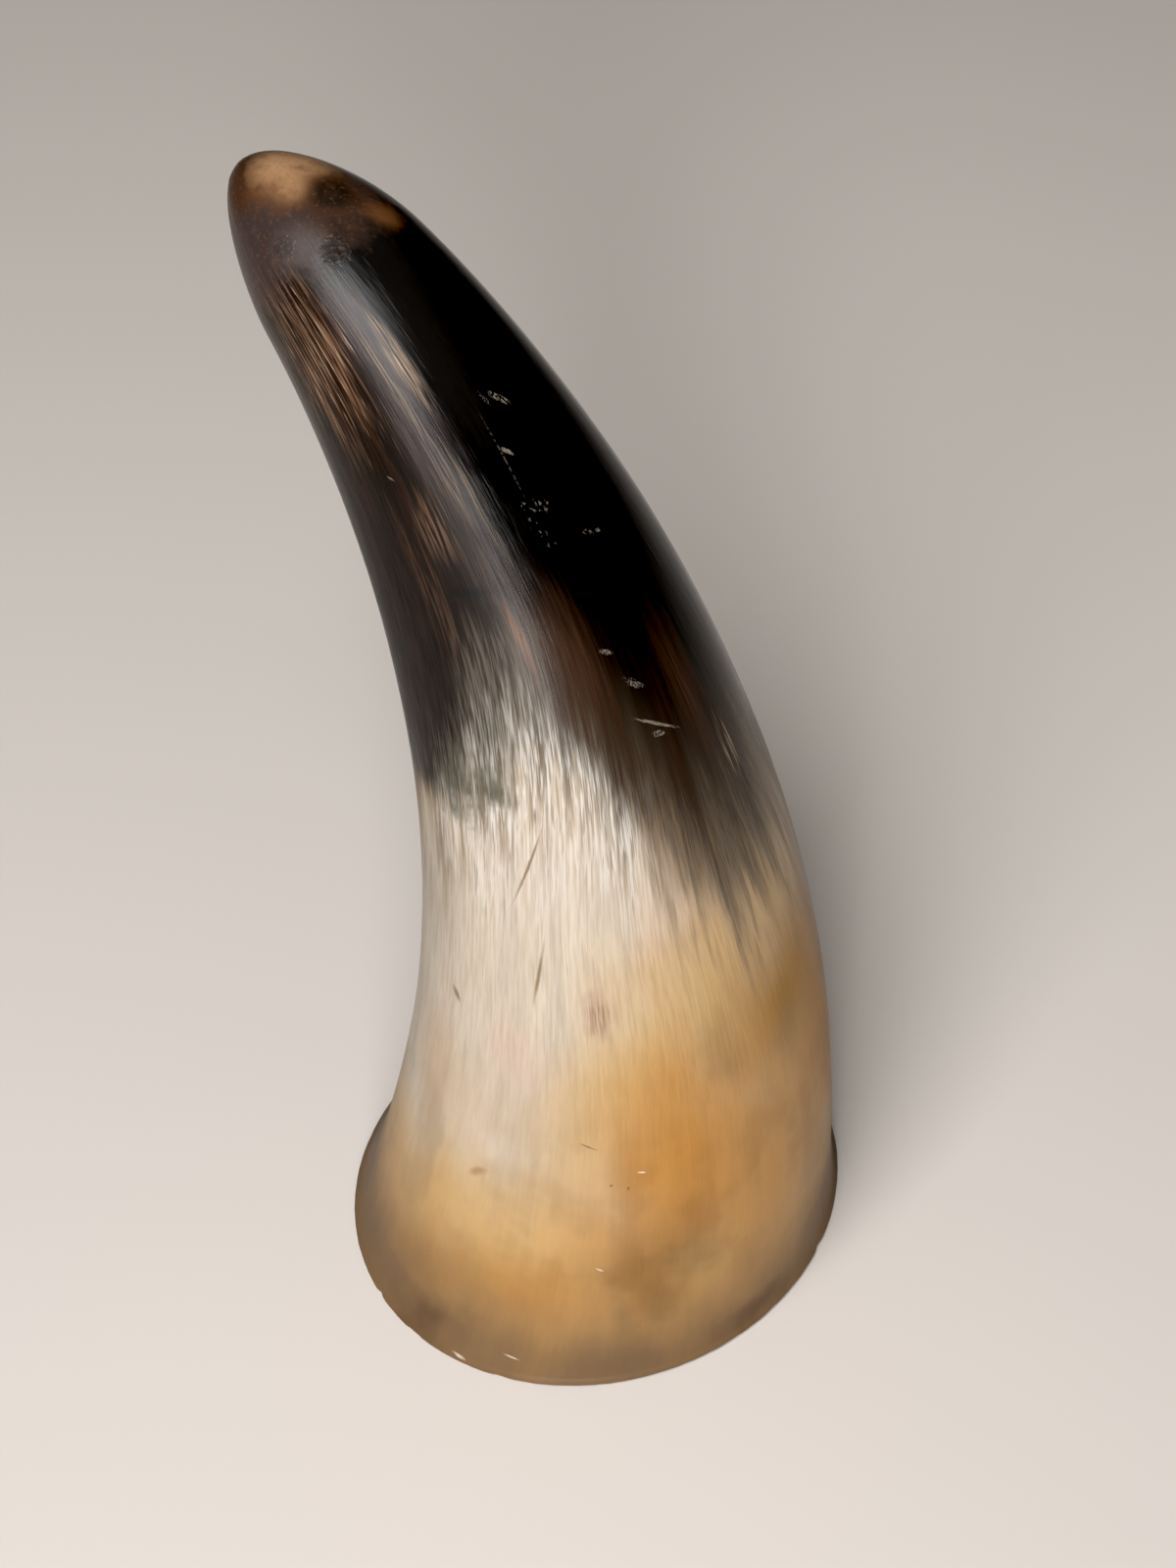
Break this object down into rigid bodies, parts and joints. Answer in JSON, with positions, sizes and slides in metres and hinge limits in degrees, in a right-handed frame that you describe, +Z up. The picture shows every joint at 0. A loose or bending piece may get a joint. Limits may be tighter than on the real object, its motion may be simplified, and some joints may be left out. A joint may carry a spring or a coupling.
{
  "type": "buffalo horn",
  "caption": "Curved, tapering water buffalo horn, hollow at its sawn wide end and solid at its blunt tip, polished, standing on the cut as a natural specimen or ornament.",
  "frame": {"origin": "on the standing surface, at the bottom centre of the horn's box", "axes": "+Z up from the sawn end, along the horn's height; the horn curves over in an upright plane, its tip towards -X and +Y; -Y is the side shown to the viewer"},
  "size_m": [0.1006, 0.0936, 0.1949],
  "materials": {
    "horn_keratin": "hand-polished horn keratin: near-black at the tip, streaked grey and cream in the middle, amber at the base, fine lengthwise fibres, satin to soft gloss"
  },
  "bodies": {
    "root": {"horn": "horn_keratin"}
  },
  "joints": []
}
